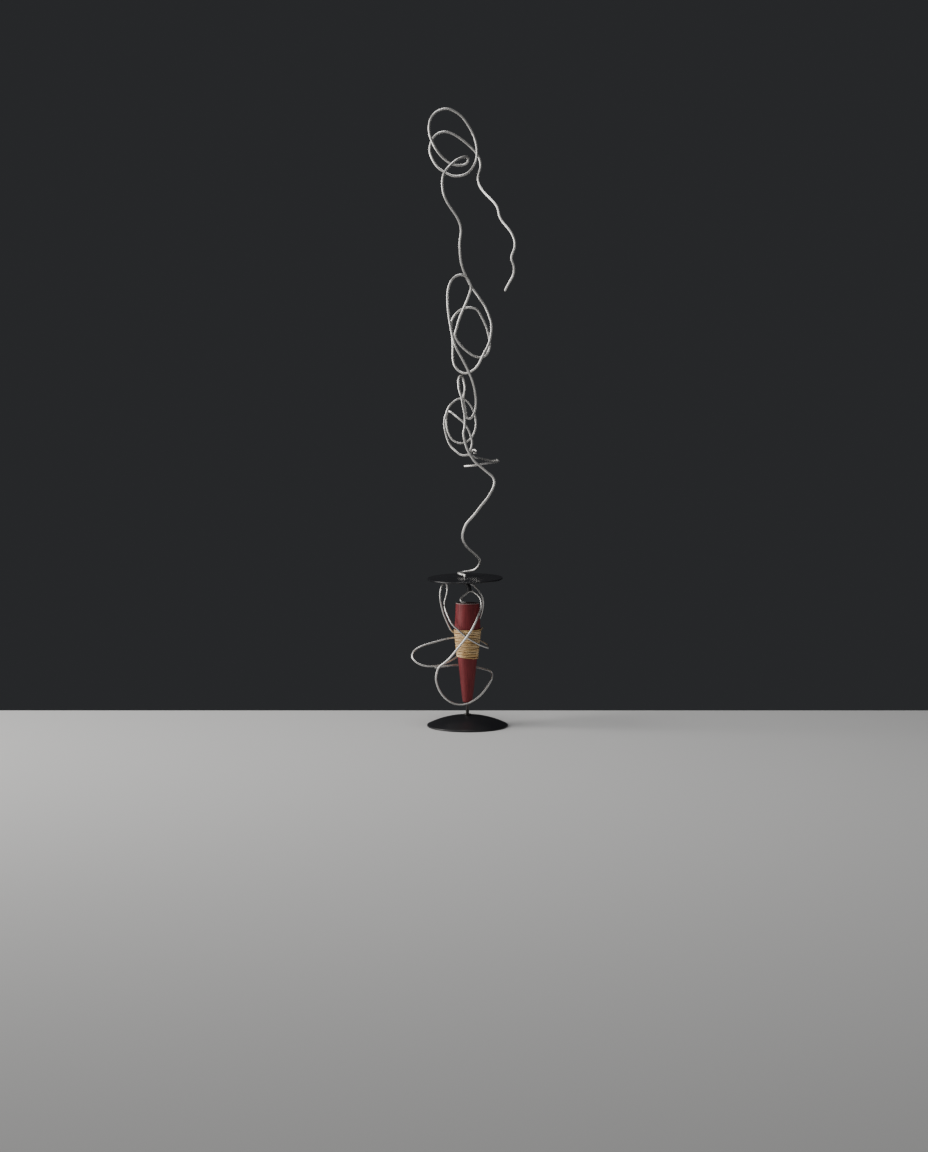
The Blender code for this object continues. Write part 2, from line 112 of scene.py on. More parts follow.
# Band of the painted highlight on the cone's top rim, and broken edges
RIM_HIGHLIGHT_BAND = 0.0012
BASE_EDGE_ROUND = 0.0007
COLLAR_EDGE_ROUND = 0.0004
ROD_EDGE_ROUND = 0.0005
CONE_EDGE_ROUND = 0.0007
PAN_EDGE_ROUND = 0.0013
STUB_CUT = 0.0004
WIRE_CUT_SHARE = 0.12
SHARP_EDGE = math.radians(35)
CONE_SHARP_EDGE = math.radians(40)
SMOOTH_ANGLE = math.radians(40)
WIRE_SMOOTH_ANGLE = math.radians(50)
CANE_SMOOTH_ANGLE = math.radians(60)

# Fineness of the meshes
BASE_SIDES = 128
COLLAR_SIDES = 64
ROD_SIDES = 40
CONE_SIDES = 112
PAN_SIDES = 160
DOME_RINGS = 22
TIP_RINGS = 6
CONE_RINGS = 24
CANE_SIDES = 16
CANE_STEPS = 72
EDGE_TURN_SIDES = 12
EDGE_TURN_STEPS = 96
WIRE_STEP = 0.0022
WIRE_BEVEL_RESOLUTION = 5
SPLINE_SAMPLES = 12
MERGE_DISTANCE = 0.00001

# Camera and floor
EYE_ACROSS = -0.007
CAMERA_LENS = 53.1
CAMERA_SENSOR = 36.0
CAMERA_SHIFT = -0.109
FLOOR_FRONT = -5.0
FLOOR_BACK = 0.2
FLOOR_HALF_WIDTH = 4.0

# Smoke wire, as in the solids: across, height over the pan and depth, in the millimetres
# of its drawing
SMOKE_ROUTE = [
    (-10, 6, 4), (-16, 8, 8), (-18, 9, 13), (-13, 10, 18), (-2, 12, 19),
    (14, 16, 16), (23, 25, 12), (25, 34, 9), (20, 42, 6), (8, 53, 1), (-4, 66, -5),
    (-10, 81, -9), (-8, 94, -12), (-2, 108, -14), (11, 123, -15), (26, 142, -15), (41, 161, -14),
    (50, 177, -12), (54, 191, -10), (51, 201, -9), (42, 209, -8), (29, 220, -8), (15, 232, -8),
    (6, 245, -8), (-2, 261, -8), (-6, 276, -8), (-8, 288, -8), (-6, 300, -8), (-5, 313, -8),
    (-6, 329, -9), (-9, 344, -9), (-12, 361, -9), (-16, 374, -8), (-18, 387, -6), (-18, 397, -3),
    (-15, 403, 2), (-10, 401, 7), (-7, 392, 8), (-5, 380, 6), (-7, 367, 2), (-8, 355, 0),
    (-6, 343, 0), (-4, 332, 0), (-2, 322, 1), (4, 318, 1), (10, 323, 1), (15, 334, 1),
    (17, 349, 0), (16, 365, -3), (13, 382, -6), (7, 401, -11), (-2, 421, -16), (-13, 442, -19),
    (-24, 463, -20), (-30, 483, -19), (-34, 503, -18), (-38, 530, -17), (-40, 555, -16),
    (-39, 574, -16), (-34, 591, -16), (-25, 602, -15), (-14, 606, -14), (-4, 603, -13),
    (3, 593, -11), (7, 582, -9), (4, 568, -7), (-3, 550, -4), (-11, 531, -2), (-18, 513, 0),
    (-23, 495, 2), (-25, 486, 3), (-22, 477, 5), (-13, 464, 8), (-1, 453, 10), (12, 444, 12),
    (24, 441, 13), (36, 444, 14), (43, 455, 15), (45, 468, 16), (43, 483, 16), (39, 498, 16),
    (33, 513, 16), (26, 526, 16), (18, 537, 15), (9, 540, 14), (-2, 540, 14), (-15, 535, 15),
    (-26, 524, 16), (-32, 511, 17), (-32, 496, 17), (-30, 478, 17), (-29, 459, 15), (-29, 439, 12),
    (-25, 423, 9), (-16, 413, 7), (-6, 409, 5), (4, 411, 3), (16, 419, 1), (25, 432, -1),
    (33, 449, -3), (41, 464, -4), (46, 480, -5), (48, 497, -5), (47, 512, -4), (42, 527, -2),
    (35, 543, 1), (25, 558, 3), (15, 572, 5), (6, 585, 6), (-1, 599, 6), (-8, 615, 4),
    (-13, 633, 1), (-15, 653, -3), (-15, 675, -7), (-13, 695, -11), (-16, 710, -14), (-24, 726, -17),
    (-37, 745, -20), (-46, 763, -22), (-50, 781, -22), (-50, 797, -21), (-46, 811, -19),
    (-36, 824, -16), (-26, 833, -12), (-16, 839, -8), (-6, 842, -4), (0, 840, 0), (1, 833, 2),
    (-5, 827, 2), (-16, 825, 0), (-30, 827, -2), (-42, 834, -4), (-54, 845, -5), (-64, 859, -5),
    (-71, 873, -4), (-76, 888, -3), (-77, 902, -1), (-74, 917, 1), (-65, 930, 3), (-54, 936, 5),
    (-40, 938, 7), (-26, 933, 9), (-12, 923, 11), (-1, 909, 12), (9, 892, 13), (16, 874, 13),
    (19, 855, 12), (18, 838, 11), (11, 822, 10), (-1, 809, 9), (-14, 804, 9), (-29, 804, 9),
    (-43, 810, 10), (-58, 820, 12), (-69, 835, 14), (-75, 851, 17), (-74, 867, 19), (-67, 882, 21),
    (-54, 891, 23), (-38, 891, 25), (-24, 885, 27), (-8, 874, 28), (7, 861, 29), (18, 849, 29),
    (25, 835, 28), (26, 820, 26), (22, 805, 23), (22, 792, 20), (28, 778, 16), (39, 765, 11),
    (51, 753, 6), (60, 740, 2), (64, 724, -2), (71, 711, -5), (82, 698, -9), (91, 684, -12),
    (95, 668, -14), (92, 653, -15), (88, 639, -15), (92, 626, -14), (93, 613, -12), (89, 600, -9),
    (82, 588, -6), (75, 574, -2),
]

# Ring wire, in the same drawing: a small curl, a double ring, a place where it rests
# behind the smoke wire, and a flat open ring
RING_SEAT = (3, 243, -5)
RING_ROUTE = [
    (12, 250, 4), (15, 249, 5), (17, 251, 7), (16, 255, 9), (13, 256, 11), (10, 254, 12),
    (8, 251, 10), (6, 251, 7), (5, 255, 3), (7, 259, 1), (9, 266, 1), (9, 274, 1),
    (7, 282, 1), (4, 291, 1), (0, 299, 1), (-5, 307, 1), (-13, 315, 2), (-22, 322, 4),
    (-30, 329, 7), (-37, 333, 10), (-40, 330, 14), (-42, 321, 16), (-42, 309, 16), (-40, 296, 15),
    (-36, 285, 14), (-30, 276, 13), (-22, 271, 12), (-12, 269, 11), (-2, 272, 11), (6, 278, 11),
    (12, 287, 11), (16, 298, 11), (17, 311, 11), (15, 324, 11), (11, 335, 11), (6, 345, 10),
    (-1, 353, 9), (-10, 358, 8), (-20, 357, 7), (-29, 351, 5), (-37, 342, 4), (-42, 330, 4),
    (-46, 316, 4), (-46, 301, 4), (-43, 287, 4), (-38, 271, 3), (-31, 260, 1), (-21, 251, -2),
    (-11, 245, -4), RING_SEAT, (15, 241, -3), (23, 239, 5), (32, 237, 15), (42, 235, 26),
    (52, 234, 35), (59, 235, 38), (62, 233, 34), (59, 231, 26), (51, 230, 17), (41, 229, 10),
    (28, 227, 5), (18, 225, 3), (7, 224, 5), (-6, 223, 10),
]

# Lower wires, as in the solids: across and depth in girths of the binding, and a level that
# is 0 at the cone's lower end, 1 at its top and 2 at the underside of the pan
FRONT_FOOT = [(-0.16, -0.47), (-0.34, -0.54)]
FRONT_ROUTE = [
    (-0.48, 1.097, -0.50), (-0.45, 1.177, -0.40), (-0.29, 1.287, -0.25), (-0.04, 1.418, -0.07),
    (0.22, 1.494, 0.00), (0.45, 1.456, 0.00), (0.65, 1.367, -0.11), (0.86, 1.245, -0.25),
    (0.99, 1.042, -0.43), (0.96, 0.939, -0.61), (0.77, 0.869, -0.90), (0.46, 0.770, -1.19),
    (-0.12, 0.644, -1.29), (-0.71, 0.541, -1.15), (-1.41, 0.426, -0.90), (-1.85, 0.377, -0.76),
    (-2.07, 0.349, -0.68), (-2.19, 0.307, -0.65), (-2.27, 0.244, -0.61), (-2.18, 0.177, -0.61),
    (-1.96, 0.105, -0.61), (-1.61, 0.043, -0.61), (-1.18, -0.001, -0.61), (-0.57, -0.025, -0.61),
    (0.09, -0.009, -0.58), (0.65, 0.037, -0.50), (1.18, 0.111, -0.29), (1.61, 0.201, 0.00),
    (1.78, 0.254, 0.22), (1.73, 0.302, 0.43), (1.40, 0.328, 0.65), (0.97, 0.344, 0.83),
    (0.50, 0.356, 0.90), (0.00, 0.367, 0.90), (-0.58, 0.375, 0.76), (-1.27, 0.370, 0.50),
    (-1.83, 0.360, 0.32), (-2.35, 0.350, 0.18),
]
BACK_ROUTE = [
    (-0.99, 0.703, 0.52), (-1.17, 0.722, 0.29),
    (-1.40, 0.782, 0.14), (-1.68, 0.873, 0.00), (-1.88, 0.971, -0.07), (-1.97, 1.245, -0.07),
    (-1.93, 1.544, 0.00), (-1.82, 1.751, 0.11), (-1.67, 1.857, 0.29), (-1.53, 1.810, 0.47),
    (-1.45, 1.641, 0.54), (-1.50, 1.354, 0.43), (-1.63, 1.072, 0.18), (-1.63, 0.955, -0.07),
    (-1.49, 0.893, -0.32), (-1.29, 0.829, -0.58), (-1.04, 0.773, -0.79), (-0.71, 0.732, -0.94),
    (-0.17, 0.663, -1.06), (0.32, 0.618, -0.99), (0.81, 0.581, -0.76), (1.26, 0.557, -0.43),
    (1.51, 0.551, -0.11), (1.50, 0.569, 0.18), (1.29, 0.593, 0.43), (0.87, 0.625, 0.76),
    (0.36, 0.648, 1.01), (-0.22, 0.658, 1.06), (-0.72, 0.654, 0.86), (-1.08, 0.649, 0.72),
    (-1.51, 0.639, 0.65), (-2.05, 0.619, 0.65), (-2.75, 0.591, 0.61), (-3.35, 0.562, 0.43),
    (-3.75, 0.530, 0.22), (-3.94, 0.496, -0.04), (-3.99, 0.463, -0.25), (-3.88, 0.429, -0.43),
    (-3.62, 0.396, -0.58), (-3.18, 0.371, -0.65), (-2.66, 0.362, -0.58), (-2.17, 0.368, -0.40),
    (-1.78, 0.381, -0.18), (-1.47, 0.400, 0.04), (-1.15, 0.422, 0.32), (-0.76, 0.457, 0.65),
    (-0.29, 0.523, 1.03), (0.00, 0.593, 1.24), (0.25, 0.668, 1.31), (0.54, 0.754, 1.15),
    (0.81, 0.827, 0.86), (1.01, 0.894, 0.58), (1.11, 0.965, 0.32), (1.12, 1.105, 0.18),
    (0.99, 1.350, 0.18), (0.77, 1.544, 0.25), (0.50, 1.709, 0.32), (0.22, 1.835, 0.36),
]
BACK_END = (0.06, 0.38)
TUCK_DROP = 0.007
TUCK_BEARINGS = [math.radians(bearing) for bearing in (88, 108, 128)]

# Loose ends of the cane: bearing in degrees, rise, and lift off the cone's side
TIE_ROUTE = [
    (-60, 0.0012, 0.0016), (-46, 0.0014, 0.0020), (-38, 0.0034, 0.0023), (-36, 0.0085, 0.0024),
    (-34, 0.0145, 0.0024), (-33, 0.0205, 0.0022), (-32, 0.0235, 0.0012),
]
CANE_END_ROUTE = [
    (-42, -0.0024, 0.0014), (-26, -0.0018, 0.0017), (-12, -0.0010, 0.0022), (0, 0.0002, 0.0034),
    (8, 0.0010, 0.0050),
]


# Camera and light
def place_camera():
    """Level camera in front, at the distance and height that the routes are drawn from."""
    camera_data = bpy.data.cameras.new("camera")
    camera_data.lens = CAMERA_LENS
    camera_data.sensor_width = CAMERA_SENSOR
    camera_data.shift_y = CAMERA_SHIFT
    camera = bpy.data.objects.new("camera", camera_data)
    camera.location = (EYE_ACROSS, -EYE_DISTANCE, EYE_HEIGHT)
    camera.rotation_euler = (math.pi / 2, 0.0, 0.0)
    bpy.context.scene.collection.objects.link(camera)
    bpy.context.scene.camera = camera


def soft_light(name, place, target, size, power, spread, colour):
    """Soft box of a width and height that faces a target."""
    light_data = bpy.data.lights.new(name, "AREA")
    light_data.shape = "RECTANGLE"
    light_data.size, light_data.size_y = size
    light_data.energy = power
    light_data.spread = math.radians(spread)
    light_data.color = colour
    light = bpy.data.objects.new(name, light_data)
    light.location = place
    light.rotation_euler = (Vector(target) - Vector(place)).to_track_quat("-Z", "Y").to_euler()
    bpy.context.scene.collection.objects.link(light)


# Modelling helpers
def deselect_all():
    """Leave nothing selected, so that an operator acts on the new piece alone."""
    bpy.ops.object.select_all(action="DESELECT")


def select_only(piece):
    """Select one piece and make it the active one."""
    deselect_all()
    piece.select_set(True)
    bpy.context.view_layer.objects.active = piece


def settle(piece):
    """Put the finished piece's place into its mesh, with its object at the origin."""
    select_only(piece)
    bpy.ops.object.transform_apply(location=True, rotation=True, scale=True)


def fill_ends():
    """Close the open ends of the mesh in Edit mode with a face each."""
    bpy.ops.mesh.select_mode(type="EDGE")
    bpy.ops.mesh.select_all(action="DESELECT")
    bpy.ops.mesh.select_non_manifold()
    bpy.ops.mesh.fill_holes(sides=0)


def face_outwards():
    """Turn all faces of the mesh in Edit mode outwards, and leave Edit mode."""
    bpy.ops.mesh.select_all(action="SELECT")
    bpy.ops.mesh.normals_make_consistent(inside=False)
    bpy.ops.object.mode_set(mode="OBJECT")


def turn_up(name, rings, sides, hollow=False):
    """Raise a round piece ring by ring, as on a lathe; each ring is a radius and a height.

    A hollow piece has no end faces: its last ring is joined to its first.
    """
    deselect_all()
    radius, height = rings[0]
    bpy.ops.mesh.primitive_circle_add(
        vertices=sides, radius=radius, fill_type="NOTHING" if hollow else "NGON",
        location=(0.0, 0.0, height))
    piece = bpy.context.object
    piece.name = name
    piece.data.name = name
    bpy.ops.object.mode_set(mode="EDIT")
    bpy.ops.mesh.select_mode(type="EDGE" if hollow else "FACE")
    bpy.ops.mesh.select_all(action="SELECT")
    for next_radius, next_height in rings[1:] + (rings[:1] if hollow else []):
        bpy.ops.mesh.extrude_region_move(
            TRANSFORM_OT_translate={"value": (0.0, 0.0, next_height - height)})
        share = next_radius / radius
        bpy.ops.transform.resize(value=(share, share, 1.0), center_override=(0.0, 0.0, next_height))
        radius = next_radius
        height = next_height
    if hollow:
        bpy.ops.mesh.select_all(action="SELECT")
        bpy.ops.mesh.remove_doubles(threshold=MERGE_DISTANCE)
    face_outwards()
    settle(piece)
    return piece


def round_edges(piece, width, segments, angle=SHARP_EDGE):
    """Break the piece's sharp edges with a bevel, and smooth what is left."""
    bevel = piece.modifiers.new("Broken edges", "BEVEL")
    bevel.width = width
    bevel.segments = segments
    bevel.limit_method = "ANGLE"
    bevel.angle_limit = angle
    select_only(piece)
    bpy.ops.object.modifier_apply(modifier=bevel.name)
    bpy.ops.object.shade_smooth_by_angle(angle=SMOOTH_ANGLE)


def arc_rings(centre_height, radius, start, end, count):
    """Rings (radius, height) on an arc about a centre on the axis, both ends included."""
    rings = []
    for i in range(count + 1):
        angle = start + (end - start) * i / count
        rings.append((radius * math.cos(angle), centre_height + radius * math.sin(angle)))
    return rings


# Routes and wires
def smooth_route(points):
    """Read many points from a natural cubic spline through the chosen ones."""
    knots = np.array([tuple(point) for point in points])
    spans = np.linalg.norm(np.diff(knots, axis=0), axis=1)
    count = len(knots)
    matrix = np.zeros((count, count))
    bends = np.zeros((count, 3))
    matrix[0, 0] = 1.0
    matrix[-1, -1] = 1.0
    for i in range(1, count - 1):
        matrix[i, i - 1:i + 2] = (spans[i - 1], 2 * (spans[i - 1] + spans[i]), spans[i])
        ahead = (knots[i + 1] - knots[i]) / spans[i]
        behind = (knots[i] - knots[i - 1]) / spans[i - 1]
        bends[i] = 6 * (ahead - behind)
    curvature = np.linalg.solve(matrix, bends)
    route = []
    for i, span in enumerate(spans):
        for step in range(SPLINE_SAMPLES):
            b = step / SPLINE_SAMPLES
            a = 1 - b
            bow = ((a ** 3 - a) * curvature[i] + (b ** 3 - b) * curvature[i + 1]) * span ** 2 / 6
            route.append(Vector(a * knots[i] + b * knots[i + 1] + bow))
    route.append(Vector(knots[-1]))
    return route


def even_steps(route, step):
    """Points a little apart along a route, the same distance from each to the next."""
    places = np.array([tuple(point) for point in route])
    along = np.concatenate([[0.0], np.cumsum(np.linalg.norm(np.diff(places, axis=0), axis=1))])
    count = max(2, round(along[-1] / step))
    wanted = np.linspace(0.0, along[-1], count + 1)
    return np.stack([np.interp(wanted, along, places[:, axis]) for axis in range(3)], axis=1)


def route_length(points):
    """Length of the smooth route through the points."""
    route = smooth_route(points)
    return sum((ahead - here).length for here, ahead in zip(route, route[1:]))


def on_sight_line(across, height, depth):
    """Set a point of the front drawing at its depth, moved along its line from the eye."""
    spread = 1 + depth / EYE_DISTANCE
    return Vector((across * spread, depth, EYE_HEIGHT + (height - EYE_HEIGHT) * spread))


def cone_radius(height):
    """Radius of the cone's side at a height over the floor."""
    above_tip = height - CONE_BOTTOM
    lower = CONE_LOWER_DIAMETER / 2
    widest = CONE_WIDEST_DIAMETER / 2
    top = CONE_TOP_DIAMETER / 2
    if above_tip < CONE_SHOULDER:
        return lower + (widest - lower) * above_tip / CONE_SHOULDER
    return widest + (top - widest) * (above_tip - CONE_SHOULDER) / (CONE_LENGTH - CONE_SHOULDER)


def around(bearing, reach, height):
    """Point at a bearing in radians, a reach from the axis and a height."""
    return Vector((reach * math.cos(bearing), reach * math.sin(bearing), height))


def pan_placement():
    """Place and tilt of the pan, with its local origin at the centre of its underside."""
    tilt = Matrix.Rotation(PAN_NOD, 4, "X") @ Matrix.Rotation(PAN_LEAN, 4, "Y")
    return Matrix.Translation((PAN_SHIFT, 0.0, PAN_UNDERSIDE)) @ tilt


def pan_face(across, depth, lift):
    """Point over or under the pan at a place in plan, measured along the pan's own axis."""
    placement = pan_placement()
    normal = placement.to_3x3() @ Vector((0.0, 0.0, 1.0))
    centre = placement.translation + normal * lift
    drop = (normal.x * (across - centre.x) + normal.y * (depth - centre.y)) / normal.z
    return Vector((across, depth, centre.z - drop))


def lower_point(across, level, depth):
    """Point of a lower wire, from its shares of the binding's girth and the two heights."""
    if level <= 1:
        height = CONE_BOTTOM + level * CONE_LENGTH
    else:
        height = CONE_TOP + (level - 1) * PAN_LIFT
    return on_sight_line(across * GIRTH, height, depth * GIRTH)


def upper_points(route):
    """Points of an upper wire, scaled so that the smoke wire's top has its height."""
    scale = SMOKE_HEIGHT / max(height for across, height, depth in SMOKE_ROUTE)
    return [on_sight_line(across * scale, PAN_TOP + height * scale, depth * scale * SMOKE_DEPTH_SHARE)
            for across, height, depth in route]


def smoke_points():
    """Smoke wire, from its foot on the middle of the pan to its free tail."""
    lifts = (PAN_THICKNESS + GAP, PAN_THICKNESS + GAP + END_STRAIGHT)
    return [pan_face(PAN_SHIFT, 0.0, lift) for lift in lifts] + upper_points(SMOKE_ROUTE)


def ring_points():
    """Ring wire, with the place where it rests against the back of the smoke wire."""
    points = upper_points(RING_ROUTE)
    seat = RING_ROUTE.index(RING_SEAT)
    drawn = points[seat]
    smoke = smooth_route(upper_points(SMOKE_ROUTE))
    carrier = min(smoke, key=lambda point: math.hypot(point.x - drawn.x, point.z - drawn.z))
    reach = (SMOKE_WIRE_DIAMETER + RING_WIRE_DIAMETER) / 2 + GAP
    points[seat] = carrier + Vector((0.0, reach, 0.0))
    return points


def front_points():
    """Front lower wire, from its foot on the cone's top to its free end."""
    rest = CONE_TOP + FRONT_WIRE_DIAMETER / 2 + GAP
    foot = [Vector((across * GIRTH, depth * GIRTH, rest)) for across, depth in FRONT_FOOT]
    return foot + [lower_point(*share) for share in FRONT_ROUTE]


def back_points():
    """Back lower wire, from its end laid on the back of the binding to the pan's underside."""
    height = BINDING_TOP - TUCK_DROP
    reach = cone_radius(height) + BINDING_THICKNESS + BACK_WIRE_DIAMETER / 2 + GAP + WIRE_SAG
    tuck = [around(bearing, reach, height) for bearing in TUCK_BEARINGS]
    across, depth = BACK_END
    end = [pan_face(across * GIRTH, depth * GIRTH, -lift) for lift in (GAP + END_STRAIGHT, GAP)]
    return tuck + [lower_point(*share) for share in BACK_ROUTE] + end


def bent_wire(name, points, diameter, cut):
    """Bend a round wire along its route and give it two softly cut ends."""
    places = even_steps(smooth_route(points), WIRE_STEP)
    curve = bpy.data.curves.new(name, "CURVE")
    curve.dimensions = "3D"
    curve.bevel_depth = diameter / 2
    curve.bevel_resolution = WIRE_BEVEL_RESOLUTION
    spline = curve.splines.new("POLY")
    spline.points.add(len(places) - 1)
    for point, place in zip(spline.points, places):
        point.co = (*place, 1.0)
    piece = bpy.data.objects.new(name, curve)
    bpy.context.scene.collection.objects.link(piece)
    select_only(piece)
    bpy.ops.object.convert(target="MESH")
    piece = bpy.context.object
    piece.data.name = name
    bpy.ops.object.mode_set(mode="EDIT")
    fill_ends()
    bpy.ops.mesh.select_all(action="DESELECT")
    bpy.ops.object.mode_set(mode="OBJECT")
    # Only the two end faces have more than four corners, and their edges get the bevel
    for face in piece.data.polygons:
        face.select = len(face.vertices) > 4
    bpy.ops.object.mode_set(mode="EDIT")
    bpy.ops.mesh.select_mode(type="FACE")
    bpy.ops.mesh.bevel(offset=cut, offset_type="OFFSET", segments=2, affect="EDGES")
    face_outwards()
    bpy.ops.object.shade_smooth_by_angle(angle=WIRE_SMOOTH_ANGLE)
    return piece


# Node helpers
def new_group(name, inputs, outputs):
    """Shader node group with number inputs (name, value) and number outputs (name)."""
    group = bpy.data.node_groups.new(name, "ShaderNodeTree")
    for label, value in inputs:
        socket = group.interface.new_socket(label, in_out="INPUT", socket_type="NodeSocketFloat")
        socket.default_value = value
    for label in outputs:
        group.interface.new_socket(label, in_out="OUTPUT", socket_type="NodeSocketFloat")
    source = group.nodes.new("NodeGroupInput")
    result = group.nodes.new("NodeGroupOutput")
    return group, source, result


def feed(tree, socket, value):
    """Give an input a number or a colour, or link another node's output to it."""
    if isinstance(value, (int, float, tuple)):
        socket.default_value = value
    else:
        tree.links.new(value, socket)


def add_noise(tree, vector, scale, detail, roughness=0.5):
    """Noise texture on a vector; returns its value socket."""
    noise = tree.nodes.new("ShaderNodeTexNoise")
    feed(tree, noise.inputs["Scale"], scale)
    noise.inputs["Detail"].default_value = detail
    noise.inputs["Roughness"].default_value = roughness
    tree.links.new(vector, noise.inputs["Vector"])
    return noise.outputs["Fac"]


def stretched(tree, scale=(1.0, 1.0, 1.0)):
    """Object coordinates, multiplied by a scale along each axis."""
    place = tree.nodes.new("ShaderNodeTexCoord")
    mapping = tree.nodes.new("ShaderNodeMapping")
    mapping.inputs["Scale"].default_value = scale
    tree.links.new(place.outputs["Object"], mapping.inputs["Vector"])
    return mapping.outputs["Vector"]


def ramp(tree, value, low, high, start, end):
    """Map a value between two limits onto a range."""
    node = tree.nodes.new("ShaderNodeMapRange")
    for label, number in (("From Min", low), ("From Max", high), ("To Min", start), ("To Max", end)):
        node.inputs[label].default_value = number
    tree.links.new(value, node.inputs["Value"])
    return node.outputs["Result"]


def arithmetic(tree, operation, *values):
    """Math node on numbers or sockets."""
    node = tree.nodes.new("ShaderNodeMath")
    node.operation = operation
    for socket, value in zip(node.inputs, values):
        feed(tree, socket, value)
    return node.outputs["Value"]


def blend_colours(tree, share, first, second):
    """Mix two colours, each a value or a socket, by a share."""
    node = tree.nodes.new("ShaderNodeMix")
    node.data_type = "RGBA"
    # The node has sockets for every kind of value, and these are its share and its two colours
    for index, value in ((0, share), (6, first), (7, second)):
        feed(tree, node.inputs[index], value)
    return node.outputs[2]


def new_material(name, metallic, roughness):
    """Material with one Principled shader; returns its tree and the shader too."""
    material = bpy.data.materials.new(name)
    material.use_nodes = True
    shader = material.node_tree.nodes["Principled BSDF"]
    shader.inputs["Metallic"].default_value = metallic
    shader.inputs["Roughness"].default_value = roughness
    return material, material.node_tree, shader


def use_group(tree, group, **values):
    """Place a group in a material, with its own numbers; an underscore stands for a space."""
    node = tree.nodes.new("ShaderNodeGroup")
    node.node_tree = group
    for label, value in values.items():
        node.inputs[label.replace("_", " ")].default_value = value
    return node


# Shared surface groups
def handled_group():
    """Soft cloudy marks of handling and dust: a roughness, a dust mask and a fine height."""
    group, source, result = new_group(
        "Handled surface",
        [("Roughness", 0.3), ("Spread", 0.08), ("Cloud scale", 40.0), ("Grain scale", 900.0),
         ("Dust", 0.5)],
        ["Roughness", "Dust mask", "Height"])
    place = stretched(group)
    cloud = add_noise(group, place, source.outputs["Cloud scale"], 4.0)
    grain = add_noise(group, place, source.outputs["Grain scale"], 2.0)
    noise_middle = 0.5
    noise_gain = 3.0
    swing = arithmetic(group, "SUBTRACT", cloud, noise_middle)
    swing = arithmetic(group, "MULTIPLY", swing, source.outputs["Spread"])
    swing = arithmetic(group, "MULTIPLY", swing, noise_gain)
    rough = arithmetic(group, "ADD", source.outputs["Roughness"], swing)
    specks = ramp(group, grain, 0.68, 0.74, 0.0, 1.0)
    facing = group.nodes.new("ShaderNodeNewGeometry")
    split = group.nodes.new("ShaderNodeSeparateXYZ")
    group.links.new(facing.outputs["Normal"], split.inputs["Vector"])
    upward = ramp(group, split.outputs["Z"], 0.4, 1.0, 0.15, 1.0)
    dust = arithmetic(group, "MULTIPLY", specks, upward)
    dust = arithmetic(group, "MULTIPLY", dust, source.outputs["Dust"])
    group.links.new(rough, result.inputs["Roughness"])
    group.links.new(dust, result.inputs["Dust mask"])
    group.links.new(grain, result.inputs["Height"])
    return group


def drawn_group():
    """Very fine marks round a drawn wire, and a little tarnish. Length counts in diameters."""
    group, source, result = new_group(
        "Drawn wire", [("Length", 1.0), ("Tarnish", 0.3)], ["Marks", "Tarnish mask"])
    marks_closeness = 12.0
    along = group.nodes.new("ShaderNodeUVMap")
    along.uv_map = "UVMap"
    split = group.nodes.new("ShaderNodeSeparateXYZ")
    group.links.new(along.outputs["UV"], split.inputs["Vector"])
    join = group.nodes.new("ShaderNodeCombineXYZ")
    angle = arithmetic(group, "MULTIPLY", split.outputs["X"], math.tau)
    group.links.new(arithmetic(group, "COSINE", angle), join.inputs["X"])
    group.links.new(arithmetic(group, "SINE", angle), join.inputs["Y"])
    reach = arithmetic(group, "MULTIPLY", split.outputs["Y"], source.outputs["Length"])
    group.links.new(arithmetic(group, "MULTIPLY", reach, marks_closeness), join.inputs["Z"])
    marks = add_noise(group, join.outputs["Vector"], 9.0, 3.0, 0.6)
    cloud = add_noise(group, stretched(group), 55.0, 4.0, 0.6)
    stain = ramp(group, cloud, 0.48, 0.72, 0.0, 1.0)
    stain = arithmetic(group, "MULTIPLY", stain, source.outputs["Tarnish"])
    group.links.new(marks, result.inputs["Marks"])
    group.links.new(stain, result.inputs["Tarnish mask"])
    return group


def add_bump(tree, shader, height, strength, distance):
    """Bump node from a height to the shader's normal."""
    bump = tree.nodes.new("ShaderNodeBump")
    bump.inputs["Strength"].default_value = strength
    bump.inputs["Distance"].default_value = distance
    tree.links.new(height, bump.inputs["Height"])
    tree.links.new(bump.outputs["Normal"], shader.inputs["Normal"])


# Materials
def bright_wire_material(name, length, drawn):
    """Bright satin steel wire with fine marks and a trace of tarnish."""
    bright = (0.68, 0.67, 0.65, 1.0)
    tarnished = (0.50, 0.48, 0.45, 1.0)
    material, tree, shader = new_material(name, 0.8, 0.36)
    surface = use_group(tree, drawn, Length=length, Tarnish=0.5)
    colour = blend_colours(tree, surface.outputs["Tarnish mask"], bright, tarnished)
    tree.links.new(colour, shader.inputs["Base Color"])
    rough = ramp(tree, surface.outputs["Marks"], 0.3, 0.7, 0.32, 0.40)
    tree.links.new(rough, shader.inputs["Roughness"])
    add_bump(tree, shader, surface.outputs["Marks"], 0.01, 0.0001)
    return material


def black_paint_material(name, roughness, handled, grain_depth):
    """Black paint on steel, with soft handling marks and a little dust."""
    paint = (0.010, 0.010, 0.012, 1.0)
    dust = (0.16, 0.155, 0.15, 1.0)
    material, tree, shader = new_material(name, 0.0, roughness)
    marks = use_group(tree, handled, Roughness=roughness, Spread=0.06, Cloud_scale=38.0,
                      Grain_scale=1400.0, Dust=0.5)
    colour = blend_colours(tree, marks.outputs["Dust mask"], paint, dust)
    tree.links.new(colour, shader.inputs["Base Color"])
    tree.links.new(marks.outputs["Roughness"], shader.inputs["Roughness"])
    add_bump(tree, shader, marks.outputs["Height"], grain_depth, 0.0003)
    return material


